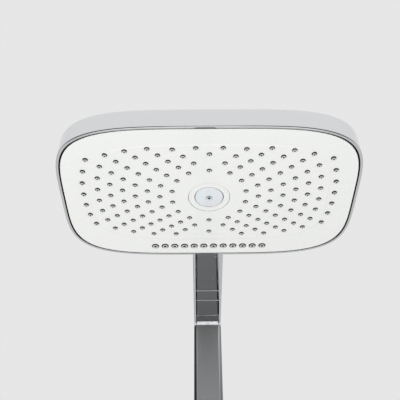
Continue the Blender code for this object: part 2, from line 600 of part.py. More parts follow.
def make_valve():
    low = (-VALVE_HALF_LENGTH, COLUMN_Y - VALVE_DEPTH / 2, VALVE_Z - VALVE_HEIGHT / 2)
    high = (VALVE_HALF_LENGTH, COLUMN_Y + VALVE_DEPTH / 2, VALVE_Z + VALVE_HEIGHT / 2)
    item = smooth(add("valve_body", box_mesh("valve_body", low, high, 7 * MM, 3, along=0), "chrome"))
    port = rod_mesh("port_union", 10 * MM, 12 * MM, (0, COLUMN_Y, high[2] - 2 * MM), sides=24)
    join(item, add("port_union", port))
    for side in (-1, 1):
        tag = "left" if side < 0 else "right"
        valve_bore("cartridge_bore_" + tag, item, 14.5 * MM, 55 * MM, 107 * MM, side)
        x = side * UNION_SPACING / 2
        inlet = rod_mesh("inlet_bore_" + tag, 7 * MM, VALVE_DEPTH / 2 + 2 * MM,
                         (x, COLUMN_Y, VALVE_Z), "Y", 16)
        cut(item, add("inlet_bore_" + tag, inlet))
    middle = rod_mesh("mixed_bore", 6 * MM, 120 * MM, (-60 * MM, COLUMN_Y, VALVE_Z), "X", 16)
    cut(item, add("mixed_bore", middle))
    up = rod_mesh("port_bore", 6 * MM, 50 * MM, (0, COLUMN_Y, VALVE_Z), sides=16)
    cut(item, add("port_bore", up))
    down = rod_mesh("outlet_bore", 8.4 * MM, 24 * MM, (0, COLUMN_Y, VALVE_Z - 24 * MM), sides=16)
    cut(item, add("outlet_bore", down))
    make_outlet()
    make_inlets()


def make_outlet():
    top = VALVE_Z - VALVE_HEIGHT / 2
    nipple = [(8 * MM, top + 8 * MM), (8 * MM, top - GAP), (12.5 * MM, top - GAP),
              (12.5 * MM, top - 4 * MM), (10.3 * MM, top - 4.5 * MM), (10.3 * MM, top - 15 * MM),
              (6 * MM, top - 15 * MM), (6 * MM, top + 8 * MM)]
    smooth(add("hose_outlet", turned_mesh("hose_outlet", nipple, 20), "chrome", (0, COLUMN_Y, 0)))
    plug = [(5.6 * MM, top - 2 * MM), (5.6 * MM, top - 12 * MM), (2 * MM, top - 12 * MM),
            (2 * MM, top - 2 * MM)]
    smooth(add("check_valve", turned_mesh("check_valve", plug, 10), "dark_plastic", (0, COLUMN_Y, 0)))


def make_inlets():
    back = COLUMN_Y + VALVE_DEPTH / 2
    for side, tag in ((-1, "left"), (1, "right")):
        at = (side * UNION_SPACING / 2, 0, VALVE_Z)
        rose = [(31 * MM, -1 * MM), (31 * MM, -3 * MM), (27 * MM, -10 * MM), (12.6 * MM, -11 * MM),
                (12.6 * MM, -9 * MM), (24 * MM, -8 * MM), (29 * MM, -1 * MM)]
        rose = [(r, y) for r, y in reversed(rose)]
        smooth(add("escutcheon_" + tag, turned_mesh("escutcheon_" + tag, rose, 24, "Y"), "chrome", at))
        pipe = [(12 * MM, -1 * MM), (12 * MM, -20 * MM), (9 * MM, -20 * MM), (9 * MM, -1 * MM)]
        smooth(add("wall_union_" + tag, turned_mesh("wall_union_" + tag, pipe, 16, "Y"), "brass", at))
        start = (at[0], back + GAP, VALVE_Z)
        nut = hex_nut("union_nut_" + tag, 18.5 * MM, start, -13 * MM - start[1], 8.4 * MM, "Y", "chrome")
        socket = rod_mesh("nut_socket_" + tag, 12.6 * MM, 12 * MM, (at[0], -21.5 * MM, VALVE_Z), "Y", 24)
        cut(nut, add("nut_socket_" + tag, socket))
        disc = [(6.6 * MM, back - 2 * MM), (6.6 * MM, back - 5 * MM), (1 * MM, back - 5 * MM),
                (1 * MM, back - 2 * MM)]
        smooth(add("filter_" + tag, turned_mesh("filter_" + tag, disc, 10, "Y"), "steel", at))


def make_knob(side, tag, look_pivot):
    """Knob on one end of the valve, turned about X, with its cartridge and screw."""
    start = VALVE_HALF_LENGTH + 0.5 * MM
    end = start + KNOB_LENGTH
    outer = [(KNOB_RADIUS, start), (KNOB_RADIUS, end - 3 * MM), (KNOB_RADIUS - 1 * MM, end - 1 * MM),
             (KNOB_RADIUS - 3.2 * MM, end), (4 * MM, end), (4 * MM, end - 6 * MM), (2 * MM, end - 6 * MM),
             (2 * MM, end - 12 * MM), (5.4 * MM, end - 12 * MM), (5.4 * MM, start + 8 * MM),
             (13.4 * MM, start + 8 * MM), (13.4 * MM, start)]
    core = [(14 * MM, 62 * MM), (14 * MM, 104 * MM), (12.8 * MM, 104 * MM), (12.8 * MM, start + 6 * MM),
            (5 * MM, start + 6 * MM), (5 * MM, end - 13 * MM), (1 * MM, end - 13 * MM), (1 * MM, 62 * MM)]
    bolt = [(3.6 * MM, end - 5.6 * MM), (3.6 * MM, end - 3.4 * MM), (0, end - 3 * MM), (0, end - 11.6 * MM),
            (1.7 * MM, end - 11.6 * MM), (1.7 * MM, end - 5.6 * MM)]
    turn = Matrix.Rotation(0 if side > 0 else pi, 4, "Z")
    middle = (0, COLUMN_Y, VALVE_Z)
    knob_name = {"left": "temperature_knob", "right": "flow_knob"}[tag]
    core_name = {"left": "thermostat_cartridge", "right": "flow_cartridge"}[tag]
    for name, profile, look, sides, on_knob in (
            (knob_name, outer, "chrome", 24, True), (core_name, core, "white_plastic", 16, False),
            (knob_name + "_screw", bolt, "steel", 8, True)):
        mesh = turned_mesh(name, profile, sides, "X")
        mesh.transform(turn)
        if on_knob:
            smooth(add(name, mesh, look, parent=look_pivot))
        else:
            smooth(add(name, mesh, look, middle))
    return bpy.data.objects[knob_name]


def make_safety(knob, turning):
    """Stop button in a pocket on top of the temperature knob; it is pressed down onto a spring."""
    x = -(VALVE_HALF_LENGTH + 30 * MM)
    rim = KNOB_RADIUS
    pocket = box_mesh("safety_cutter", (x - 5 * MM, -3.5 * MM, rim - 9.5 * MM),
                      (x + 5 * MM, 3.5 * MM, rim + 1 * MM))
    cut(knob, add("safety_cutter", pocket, parent=turning))
    button = pivot("safety_pivot", (x, 0, rim), turning)
    cap = box_mesh("safety_button", (-4.6 * MM, -3.1 * MM, -3 * MM), (4.6 * MM, 3.1 * MM, 0.8 * MM),
                   0.6 * MM, 2)
    smooth(add("safety_button", cap, "dark_plastic", parent=button))
    coil_mesh("safety_spring", 2 * MM, 0.35 * MM, 5.6 * MM, 3, "steel", (x, 0, rim - 8.9 * MM), turning)


# Assembly -------------------------------------------------------------------------------
def build():
    stud = pivot("swivel_pivot", (0, HEAD_Y, BALL_Z))
    tilt = pivot("tilt_pivot", (0, 0, 0), stud)
    head = pivot("head_frame", (0, 0, FACE_Z - BALL_Z), tilt)
    button = pivot("button_pivot", (0, 0, 0), head)
    make_housing(head)
    make_face(head)
    make_mat(head)
    make_jets(head)
    make_chamber(head)
    make_button(head, button)
    make_ball_joint(tilt, stud)
    make_arm()
    make_column()
    make_bracket()
    make_valve()
    for side, tag in ((-1, "left"), (1, "right")):
        turning = pivot(tag + "_knob_pivot", (0, COLUMN_Y, VALVE_Z))
        knob = make_knob(side, tag, turning)
        if tag == "left":
            make_safety(knob, turning)


clear_scene()
PARTS = new_collection("rainfall_shower_column")
CUTTERS = new_collection("cutters")
build()
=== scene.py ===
"""Looks for the rainfall shower column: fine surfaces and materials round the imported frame.

Metres, +Z up. The wall is the plane y = 0 and the head reaches towards -Y.
"""
import json
from math import cos, hypot, pi, radians, sin

import bmesh
import bpy
from mathutils import Matrix, Vector


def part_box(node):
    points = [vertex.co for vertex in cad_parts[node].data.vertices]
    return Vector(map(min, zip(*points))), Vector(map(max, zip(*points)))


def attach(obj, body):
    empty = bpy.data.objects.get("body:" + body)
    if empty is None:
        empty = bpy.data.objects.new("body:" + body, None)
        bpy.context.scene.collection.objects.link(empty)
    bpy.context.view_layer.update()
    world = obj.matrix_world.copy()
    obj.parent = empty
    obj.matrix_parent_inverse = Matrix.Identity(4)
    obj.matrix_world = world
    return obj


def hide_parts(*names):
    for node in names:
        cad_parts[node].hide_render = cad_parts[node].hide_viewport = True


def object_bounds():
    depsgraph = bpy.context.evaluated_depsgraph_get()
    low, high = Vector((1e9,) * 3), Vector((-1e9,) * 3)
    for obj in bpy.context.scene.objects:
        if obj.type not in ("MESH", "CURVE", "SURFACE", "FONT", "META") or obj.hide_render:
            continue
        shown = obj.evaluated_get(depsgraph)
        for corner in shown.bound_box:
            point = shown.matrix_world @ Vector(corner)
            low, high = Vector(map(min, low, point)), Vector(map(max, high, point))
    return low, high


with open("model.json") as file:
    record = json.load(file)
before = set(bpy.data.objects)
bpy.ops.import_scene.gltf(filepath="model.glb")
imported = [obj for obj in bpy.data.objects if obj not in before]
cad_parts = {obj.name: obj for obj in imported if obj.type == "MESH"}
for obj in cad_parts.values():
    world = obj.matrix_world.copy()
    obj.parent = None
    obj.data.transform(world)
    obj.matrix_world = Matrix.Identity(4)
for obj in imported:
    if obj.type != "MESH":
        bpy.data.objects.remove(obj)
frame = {"nodes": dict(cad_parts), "record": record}

MM = 0.001
CAD_BOX = [list(corner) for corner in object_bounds()]

# Places read from the frame -------------------------------------------------------------
HOUSING_LOW, HOUSING_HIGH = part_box("head_housing")
HEAD_X = (HOUSING_LOW.x + HOUSING_HIGH.x) / 2
HEAD_Y = (HOUSING_LOW.y + HOUSING_HIGH.y) / 2
FACE_Z = HOUSING_LOW.z
HEAD_PLACE = (HEAD_X, HEAD_Y, FACE_Z)
HOUSING_HALF = ((HOUSING_HIGH.x - HOUSING_LOW.x) / 2, (HOUSING_HIGH.y - HOUSING_LOW.y) / 2)
HOUSING_HEIGHT = HOUSING_HIGH.z - HOUSING_LOW.z
FACE_LOW, FACE_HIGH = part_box("spray_face")
FACE_HALF = ((FACE_HIGH.x - FACE_LOW.x) / 2, (FACE_HIGH.y - FACE_LOW.y) / 2)
FACE_THICKNESS = 3 * MM
BALL_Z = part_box("ball_socket")[1].z

CORNER_POWER = 4.2
FACE_EDGE = 0.7 * MM
# Painted shade in the narrow gap between the housing's lip and the face. The black rubber look goes on
# the lip's inner wall below this depth, and on both walls forward of this end.
GAP_SHADE_DEPTH = 3.4 * MM
GAP_SHADE_END = 66 * MM               # painted shade in the gap round the face, left off near the rear edge where light falls in
RELIEF = ((0.35 * MM, (120.5 * MM, 69 * MM), 4.0), (0.2 * MM, (69.3 * MM, 61 * MM), 2.6))
RELIEF_SHIFT = -3 * MM
RELIEF_STEP = ((-1.2 * MM, 0.0), (-0.5 * MM, 0.3), (0.0, 0.9), (0.35 * MM, 1.12), (1.2 * MM, 1.0))

NOZZLE_PITCH = 15.9 * MM
NOZZLE_STEPS = (3, 4, 5, 5, 5, 4, 4, 3)
NOZZLE_HOLE = 2.7 * MM
JET_COUNT = 12
JET_PITCH = 10.7 * MM
JET_Y = 79 * MM
JET_HOLE = 4.1 * MM
WELL_RADIUS = 21.4 * MM


# Camera, light and floor ----------------------------------------------------------------
CAMERA_OFFSET = Vector((-9.3 * MM, -501 * MM, -467.3 * MM))      # from the middle of the face
CAMERA_PITCH = 42.77
CAMERA_ROLL = 0.38
FOCAL = 60.4
FLOOR_DROP = 60 * MM
FLOOR_SIZE = 4


def make_camera():
    data = bpy.data.cameras.new("camera")
    data.lens = FOCAL
    data.sensor_width = 36
    data.clip_start = 0.01
    eye = bpy.data.objects.new("camera", data)
    bpy.context.scene.collection.objects.link(eye)
    turn = Matrix.Rotation(radians(90 + CAMERA_PITCH), 4, "X")
    roll = Matrix.Rotation(radians(-CAMERA_ROLL), 4, "Z")
    eye.matrix_world = Matrix.Translation(Vector(HEAD_PLACE) + CAMERA_OFFSET) @ turn @ roll
    bpy.context.scene.camera = eye


def area_light(name, at, size, power):
    """Soft light aimed at the head; neither the camera nor the chrome sees it."""
    data = bpy.data.lights.new(name, "AREA")
    data.shape = "RECTANGLE"
    data.size, data.size_y = size
    data.energy = power
    lamp = bpy.data.objects.new(name, data)
    bpy.context.scene.collection.objects.link(lamp)
    lamp.location = at
    lamp.rotation_euler = (Vector(HEAD_PLACE) - Vector(at)).to_track_quat("-Z", "Y").to_euler()
    lamp.visible_glossy = False
    lamp.visible_camera = False


def ramp_of(tree, value, stops):
    """Colour ramp through (position, grey level) stops."""
    made = tree.nodes.new("ShaderNodeValToRGB")
    ramp = made.color_ramp
    while len(ramp.elements) < len(stops):
        ramp.elements.new(0.5)
    for element, (where, level) in zip(ramp.elements, stops):
        element.position = where
        element.color = (level, level * 1.003, level * 1.006, 1)
    tree.links.new(value, made.inputs["Fac"])
    return made.outputs["Color"]


def span_of(tree, value, low, high, to_low=0.0, to_high=1.0):
    """Maps low..high to to_low..to_high and holds the end values beyond."""
    made = tree.nodes.new("ShaderNodeMapRange")
    for socket, number in (("From Min", low), ("From Max", high),
                           ("To Min", to_low), ("To Max", to_high)):
        made.inputs[socket].default_value = number
    tree.links.new(value, made.inputs["Value"])
    return made.outputs["Result"]


def times(tree, first, second):
    made = tree.nodes.new("ShaderNodeMath")
    made.operation = "MULTIPLY"
    tree.links.new(first, made.inputs[0])
    tree.links.new(second, made.inputs[1])
    return made.outputs["Value"]


def blend_of(tree, factor, first, second, kind="MIX"):
    made = tree.nodes.new("ShaderNodeMix")
    made.data_type = "RGBA"
    made.blend_type = kind
    tree.links.new(factor, made.inputs["Factor"])
    tree.links.new(first, made.inputs["A"])
    tree.links.new(second, made.inputs["B"])
    return made.outputs["Result"]


# The plain room that the chrome mirrors: (height, grey level) stops, with height 0 straight
# down, 0.5 level and 1 straight up. Front is the camera's side and back is the wall.
ROOM_FRONT = ((0.0, 1.3), (0.03, 1.3), (0.04, 0.02), (0.26, 0.01), (0.33, 0.17), (0.40, 0.22),
              (0.46, 0.3), (0.5, 0.35), (0.62, 0.25), (0.70, 0.25), (0.76, 0.9), (0.83, 0.8),
              (1.0, 0.85))
ROOM_STRIP = ((0.0, 0.0), (0.105, 0.0), (0.115, 1.0), (0.166, 1.0), (0.178, 0.0), (1.0, 0.0))
ROOM_BACK = ((0.0, 1.3), (0.03, 1.3), (0.06, 0.62), (0.155, 0.62), (0.185, 0.58), (0.24, 0.58),
             (0.3, 0.6), (0.5, 0.6), (0.7, 0.5), (0.78, 0.5), (0.83, 0.75), (1.0, 0.85))
# A bright strip low in front, for the neck of the arm, and how far it reaches to each side.
STRIP_HALF = 0.05
STRIP_FADE = 0.03
STRIP_LEVEL = 1.8
# Darkening from left (0) to right (1) inside a band of heights, for the housing's rounded ends.
ROOM_SIDE = ((0.0, 0.06), (0.35, 0.06), (0.42, 0.8), (0.5, 1.0), (0.58, 1.0), (0.65, 0.42),
             (1.0, 0.42))
SIDE_BAND = ((0.0, 0.0), (0.6, 0.0), (0.66, 1.0), (0.78, 1.0), (0.83, 0.0), (1.0, 0.0))
FILL_COLOUR = (0.79, 0.795, 0.79, 1)


def make_world():
    """Pale studio: even fill light, and a soft light-to-dark room for the chrome to mirror."""
    world = bpy.data.worlds.new("studio")
    world.use_nodes = True
    bpy.context.scene.world = world
    tree = world.node_tree
    nodes = tree.nodes
    nodes.clear()
    out = nodes.new("ShaderNodeOutputWorld")
    place = nodes.new("ShaderNodeTexCoord")
    split = nodes.new("ShaderNodeSeparateXYZ")
    tree.links.new(place.outputs["Generated"], split.inputs["Vector"])
    height = span_of(tree, split.outputs["Z"], -1, 1)
    front = ramp_of(tree, height, ROOM_FRONT)
    back = ramp_of(tree, height, ROOM_BACK)
    room = blend_of(tree, span_of(tree, split.outputs["Y"], -0.25, 0.15), front, back)
    in_front = span_of(tree, split.outputs["Y"], 0.0, -0.2)
    strip = times(tree, ramp_of(tree, height, ROOM_STRIP), in_front)
    for side in (-1, 1):
        near, far = side * STRIP_HALF, side * (STRIP_HALF + STRIP_FADE)
        strip = times(tree, strip, span_of(tree, split.outputs["X"], far, near))
    white = nodes.new("ShaderNodeRGB")
    white.outputs["Color"].default_value = (STRIP_LEVEL, STRIP_LEVEL, STRIP_LEVEL, 1)
    room = blend_of(tree, strip, room, white.outputs["Color"])
    ends = ramp_of(tree, span_of(tree, split.outputs["X"], -1, 1), ROOM_SIDE)
    room = blend_of(tree, ramp_of(tree, height, SIDE_BAND), room, ends, "MULTIPLY")
    mirrored = nodes.new("ShaderNodeBackground")
    tree.links.new(room, mirrored.inputs["Color"])
    mirrored.inputs["Strength"].default_value = 1.0
    fill = nodes.new("ShaderNodeBackground")
    fill.inputs["Color"].default_value = FILL_COLOUR
    fill.inputs["Strength"].default_value = 1.0
    path = nodes.new("ShaderNodeLightPath")
    mix = nodes.new("ShaderNodeMixShader")
    for start, end in ((path.outputs["Is Glossy Ray"], mix.inputs["Fac"]),
                       (fill.outputs["Background"], mix.inputs[1]),
                       (mirrored.outputs["Background"], mix.inputs[2]),
                       (mix.outputs["Shader"], out.inputs["Surface"])):
        tree.links.new(start, end)


def make_floor():
    work = bmesh.new()
    level = CAD_BOX[0][2] - FLOOR_DROP
    bmesh.ops.create_grid(work, x_segments=1, y_segments=1, size=FLOOR_SIZE,
                          matrix=Matrix.Translation((0, HEAD_Y, level)))
    mesh = bpy.data.meshes.new("floor")
    work.to_mesh(mesh)
    work.free()
    floor = bpy.data.objects.new("floor", mesh)
    bpy.context.scene.collection.objects.link(floor)
    look = bpy.data.materials.new("floor")
    look.use_nodes = True
    shader = look.node_tree.nodes["Principled BSDF"]
    shader.inputs["Base Color"].default_value = (0.78, 0.78, 0.77, 1)
    shader.inputs["Roughness"].default_value = 0.9
    mesh.materials.append(look)
    floor.visible_glossy = False


def make_stage():
    make_camera()
    make_world()
    make_floor()
    area_light("under_fill", (-0.15, HEAD_Y - 0.35, FACE_Z - 1.05), (1.0, 0.9), 5.8)
    area_light("ceiling_wash", (-0.5, HEAD_Y - 0.7, FACE_Z + 1.5), (1.6, 1.6), 7.0)
    bpy.context.scene.view_settings.view_transform = "Standard"


# Materials ------------------------------------------------------------------------------
class Look:
    """A Principled material with object-space noise for fine roughness and surface detail."""

    def __init__(self, name, colour, roughness, metallic=0.0, **sockets):
        self.material = bpy.data.materials.new(name)
        self.material.use_nodes = True
        self.tree = self.material.node_tree
        self.shader = self.tree.nodes["Principled BSDF"]
        self.shader.inputs["Base Color"].default_value = (*colour, 1)
        self.shader.inputs["Roughness"].default_value = roughness
        self.shader.inputs["Metallic"].default_value = metallic
        for socket, value in sockets.items():
            self.shader.inputs[socket.replace("_", " ")].default_value = value
        self.place = self.tree.nodes.new("ShaderNodeTexCoord").outputs["Object"]

    def noise(self, scale, detail=3.0, stretch=(1, 1, 1)):
        mapping = self.tree.nodes.new("ShaderNodeMapping")
        mapping.inputs["Scale"].default_value = stretch
        self.tree.links.new(self.place, mapping.inputs["Vector"])
        made = self.tree.nodes.new("ShaderNodeTexNoise")
        made.inputs["Scale"].default_value = scale
        made.inputs["Detail"].default_value = detail
        self.tree.links.new(mapping.outputs["Vector"], made.inputs["Vector"])
        return made.outputs["Fac"]

    def depth(self, start, end):
        """0 above one level and 1 below another, in the piece's own height."""
        split = self.tree.nodes.new("ShaderNodeSeparateXYZ")
        self.tree.links.new(self.place, split.inputs["Vector"])
        return span_of(self.tree, split.outputs["Z"], start, end)

    def spots(self, scale, radius):
        """Small round dried drops: 1 inside a spot, fading to 0 at its rim."""
        cells = self.tree.nodes.new("ShaderNodeTexVoronoi")
        cells.inputs["Scale"].default_value = scale
        self.tree.links.new(self.place, cells.inputs["Vector"])
        return span_of(self.tree, cells.outputs["Distance"], radius, radius * 0.7)

    def rough(self, value, low, high):
        """Roughness from low to high over the middle of a noise."""
        spread = span_of(self.tree, value, 0.3, 0.7, low, high)
        self.tree.links.new(spread, self.shader.inputs["Roughness"])

    def dull(self, spots, amount):
        """Adds dried drops to the roughness that is already linked."""
        socket = self.shader.inputs["Roughness"]
        base = socket.links[0].from_socket
        more = self.tree.nodes.new("ShaderNodeMath")
        more.operation = "MULTIPLY_ADD"
        more.inputs[1].default_value = amount
        self.tree.links.new(spots, more.inputs[0])
        self.tree.links.new(base, more.inputs[2])
        self.tree.links.new(more.outputs["Value"], socket)

    def bump(self, value, strength, distance):
        node = self.tree.nodes.new("ShaderNodeBump")
        node.inputs["Strength"].default_value = strength
        node.inputs["Distance"].default_value = distance
        self.tree.links.new(value, node.inputs["Height"])
        self.tree.links.new(node.outputs["Normal"], self.shader.inputs["Normal"])

    def tint(self, value, dark, light):
        mix = self.tree.nodes.new("ShaderNodeMix")
        mix.data_type = "RGBA"
        mix.inputs["A"].default_value = (*dark, 1)
        mix.inputs["B"].default_value = (*light, 1)
        self.tree.links.new(value, mix.inputs["Factor"])
        self.tree.links.new(mix.outputs["Result"], self.shader.inputs["Base Color"])


def make_looks():
    """Materials by slot name, the record's slots plus one for the rear jets."""
    looks = {}

    def keep(slot, look):
        looks[slot] = look.material
        return look

    chrome = keep("chrome", Look("polished_chrome", (0.80, 0.81, 0.82), 0.05, 1.0))
    chrome.rough(chrome.noise(60), 0.035, 0.075)
    chrome.bump(chrome.noise(9, 1.0), 0.04, 0.0004)
    chrome.tint(chrome.noise(7), (0.775, 0.785, 0.80), (0.82, 0.825, 0.83))
    chrome.dull(chrome.spots(90, 0.16), 0.16)
    satin = keep("satin_metal", Look("satin_metal", (0.44, 0.445, 0.45), 0.5, 0.8))
    satin.rough(satin.noise(160), 0.46, 0.56)
    satin.bump(satin.noise(240, 2.0, (6, 6, 0.4)), 0.05, 0.00003)
    satin.tint(satin.noise(5), (0.43, 0.435, 0.44), (0.455, 0.46, 0.47))
    white = keep("white_gloss", Look("gloss_white_plastic", (0.86, 0.87, 0.86), 0.22, Coat_Weight=0.25))
    white.rough(white.noise(220), 0.18, 0.27)
    white.bump(white.noise(380), 0.05, 0.00005)
    white.tint(white.noise(14), (0.85, 0.86, 0.85), (0.875, 0.88, 0.872))
    white.dull(white.spots(120, 0.14), 0.2)
    # Silicone is pale at the tips, which stand below this height. Above it, in the collars, bores and
    # sheet, it is painted near black as the shade down in the holes.
    for slot, name, tips, pale in (("silicone", "grey_silicone", -1.45 * MM, (0.66, 0.665, 0.67)),
                                   ("jet_silicone", "jet_silicone", -0.45 * MM, (0.72, 0.725, 0.72))):
        rubber = keep(slot, Look(name, (0.2, 0.21, 0.22), 0.5))
        rubber.rough(rubber.noise(900), 0.42, 0.6)
        rubber.bump(rubber.noise(2500), 0.2, 0.00003)
        # The dark end of this tint is painted shade.
        rubber.tint(rubber.depth(tips, tips - 0.25 * MM), (0.055, 0.058, 0.06), pale)
    lens = keep("clear_button", Look("pale_translucent_plastic", (0.60, 0.66, 0.74), 0.14,
                                     Coat_Weight=0.6, Subsurface_Weight=0.2, Subsurface_Scale=0.004))
    lens.rough(lens.noise(300), 0.10, 0.18)
    lens.bump(lens.noise(500), 0.04, 0.00004)
    lens.tint(lens.noise(60), (0.75, 0.78, 0.82), (0.785, 0.815, 0.845))
    dark = keep("dark_plastic", Look("satin_black_plastic", (0.05, 0.05, 0.055), 0.4))
    dark.rough(dark.noise(700), 0.34, 0.5)
    dark.bump(dark.noise(1800), 0.15, 0.00003)
    dark.tint(dark.noise(90), (0.04, 0.04, 0.045), (0.06, 0.06, 0.065))
    plain = keep("white_plastic", Look("natural_plastic", (0.72, 0.72, 0.70), 0.45))
    plain.rough(plain.noise(400), 0.38, 0.52)
    plain.bump(plain.noise(900), 0.1, 0.00005)
    plain.tint(plain.noise(40), (0.70, 0.70, 0.68), (0.75, 0.75, 0.73))
    brass = keep("brass", Look("machined_brass", (0.72, 0.55, 0.28), 0.3, 1.0))
    brass.rough(brass.noise(250), 0.22, 0.38)
    brass.bump(brass.noise(300, 2.0, (1, 1, 18)), 0.1, 0.00004)
    brass.tint(brass.noise(30), (0.68, 0.50, 0.24), (0.76, 0.60, 0.33))
    steel = keep("steel", Look("plain_steel", (0.60, 0.60, 0.61), 0.3, 1.0))
    steel.rough(steel.noise(350), 0.22, 0.36)
    steel.bump(steel.noise(500, 2.0, (1, 1, 12)), 0.1, 0.00003)
    steel.tint(steel.noise(60), (0.56, 0.56, 0.57), (0.65, 0.65, 0.66))
    seal = keep("rubber", Look("black_seal_rubber", (0.03, 0.03, 0.03), 0.65))
    seal.rough(seal.noise(700), 0.55, 0.75)
    seal.bump(seal.noise(1500), 0.2, 0.00004)
    seal.tint(seal.noise(90), (0.024, 0.024, 0.024), (0.04, 0.04, 0.04))
    return looks


# Mesh helpers ---------------------------------------------------------------------------
def finish_piece(work, name, slot, body, replaces=(), at=(0, 0, 0), angle=30):
    """Closes a mesh into a smooth-shaded piece that rides on a body."""
    bmesh.ops.remove_doubles(work, verts=work.verts, dist=1e-6)
    bmesh.ops.recalc_face_normals(work, faces=work.faces)
    mesh = bpy.data.meshes.new(name)
    work.to_mesh(mesh)
    work.free()
    mesh.shade_smooth()
    mesh.set_sharp_from_angle(angle=radians(angle))
    mesh.materials.append(LOOKS[slot])
    piece = bpy.data.objects.new(name, mesh)
    bpy.context.scene.collection.objects.link(piece)
    piece.location = at
    flat = piece.modifiers.new("flat_faces", "WEIGHTED_NORMAL")
    flat.keep_sharp = True
    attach(piece, body)
    if replaces:
        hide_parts(*replaces)
    return piece


def loft(work, rings, capped=True, closed=False):
    """Skin between rings of points; the two ends are capped, or the last ring meets the first."""
    loops = [[work.verts.new(point) for point in ring] for ring in rings]
    following = loops[1:] + loops[:1] if closed else loops[1:]
    for low, high in zip(loops, following):
        count = len(low)
        for k in range(count):
            n = (k + 1) % count
            work.faces.new((low[k], low[n], high[n], high[k]))
    if capped and not closed:
        work.faces.new(loops[0])
        work.faces.new(loops[-1])


def circle(radius, height, sides):
    return [(radius * cos(2 * pi * k / sides), radius * sin(2 * pi * k / sides), height)
            for k in range(sides)]


def turn_to(axis):
    return {"Z": Matrix(), "X": Matrix.Rotation(pi / 2, 4, "Y"),
            "Y": Matrix.Rotation(-pi / 2, 4, "X"), "-X": Matrix.Rotation(-pi / 2, 4, "Y")}[axis]


def add_turned(work, profile, sides=64, axis="Z", at=(0, 0, 0)):
    """Adds a closed (radius, height) profile turned about an axis through a point."""
    part = bmesh.new()
    tiny = 1e-9
    ends_on_axis = profile[0][0] < tiny and profile[-1][0] < tiny
    rings = [circle(max(r, tiny), z, sides) for r, z in profile]
    if ends_on_axis:
        loft(part, rings, capped=False)
        bmesh.ops.remove_doubles(part, verts=part.verts, dist=1e-7)
        bmesh.ops.dissolve_degenerate(part, dist=1e-7, edges=part.edges)
    else:
        loft(part, rings, closed=True)
    bmesh.ops.transform(part, matrix=Matrix.Translation(at) @ turn_to(axis), verts=part.verts)
    bmesh.ops.recalc_face_normals(part, faces=part.faces)
    mesh = bpy.data.meshes.new("part")
    part.to_mesh(mesh)
    part.free()
    work.from_mesh(mesh)
    bpy.data.meshes.remove(mesh)


def turned_piece(name, profile, sides, slot, body, node, at=(0, 0, 0), axis="Z", through=(0, 0, 0),
                 angle=40):
    """One turned piece in place of a CAD node: its origin is at, its axis runs through a point."""
    work = bmesh.new()
    add_turned(work, profile, sides, axis, through)
    finish_piece(work, name, slot, body, (node,), at, angle)


def scaled(profile, lift=0.0):
    """A profile in millimetres as metres, raised by lift."""
    return [(r * MM, z * MM + lift) for r, z in profile]


def arc(radius, start, end, steps):
    """Points of a profile arc about the origin, in degrees from the +radius direction."""
    return [(radius * cos(radians(start + (end - start) * k / steps)),
             radius * sin(radians(start + (end - start) * k / steps))) for k in range(steps + 1)]


def rounded_rectangle(half_x, half_y, radius, per_corner=8):
    points = []
    for quarter, (sx, sy) in enumerate(((1, 1), (-1, 1), (-1, -1), (1, -1))):
        for k in range(per_corner + 1):
            angle = pi / 2 * (quarter + k / per_corner)
            points.append((sx * (half_x - radius) + radius * cos(angle),
                           sy * (half_y - radius) + radius * sin(angle)))
    return points


def add_bar(work, half_x, half_y, radius, low, high, rounding, axis, middle, steps=5):
    """Solid bar with a rounded rectangular section and rounded rims at both ends.

    rounding is one value or a pair for the low and high end; middle is the section's centre.
    """
    low_round, high_round = rounding if isinstance(rounding, tuple) else (rounding, rounding)
    stations = []
    for end, amount, sign in ((low, low_round, 1), (high, high_round, -1)):
        ring = [(amount * (1 - sin(pi / 2 * k / steps)),
                 end + sign * amount * (1 - cos(pi / 2 * k / steps))) for k in range(steps + 1)]
        stations += ring if sign > 0 else reversed(ring)
    rings = []
    for inset, along in stations:
        corner = max(radius - inset * 0.5, radius * 0.3)
        outline = rounded_rectangle(half_x - inset, half_y - inset, corner)
        if axis == "Z":
            rings.append([(middle[0] + u, middle[1] + v, along) for u, v in outline])
        elif axis == "Y":
            rings.append([(middle[0] + u, along, middle[1] + v) for u, v in outline])
        else:
            rings.append([(along, middle[0] + u, middle[1] + v) for u, v in outline])
    loft(work, rings)


def box_middle(node):
    """Middle and half sizes of a CAD node's box."""
    low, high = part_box(node)
    return (low + high) / 2, (high - low) / 2


# Head outline and nozzle pattern --------------------------------------------------------
def superellipse(half, power, sides=240, shift=0.0):
    """Outline points spaced evenly along the curve, moved by shift along Y."""
    dense = []
    fine = sides * 12
    for k in range(fine + 1):
        angle = 2 * pi * k / fine
        c, s = cos(angle), sin(angle)
        x = half[0] * abs(c) ** (2 / power) * (1 if c > 0 else -1)
        y = half[1] * abs(s) ** (2 / power) * (1 if s > 0 else -1)
        dense.append((x, y))
    lengths = [0.0]
    for a, b in zip(dense, dense[1:]):
        lengths.append(lengths[-1] + hypot(b[0] - a[0], b[1] - a[1]))
    points, index = [], 0
    for k in range(sides):
        want = lengths[-1] * k / sides
        while lengths[index + 1] < want:
            index += 1
        t = (want - lengths[index]) / max(lengths[index + 1] - lengths[index], 1e-12)
        a, b = dense[index], dense[index + 1]
        points.append((a[0] + t * (b[0] - a[0]), a[1] + t * (b[1] - a[1]) + shift))
    return points


def inset_outline(points, amount):
    """Moves a closed outline inwards along its normals."""
    count = len(points)
    moved = []
    for k, (x, y) in enumerate(points):
        ax, ay = points[k - 1]
        bx, by = points[(k + 1) % count]
        dx, dy = bx - ax, by - ay
        size = hypot(dx, dy)
        moved.append((x - dy / size * amount, y + dx / size * amount))
    return moved


def at_height(outline, height):
    return [(x, y, height) for x, y in outline]


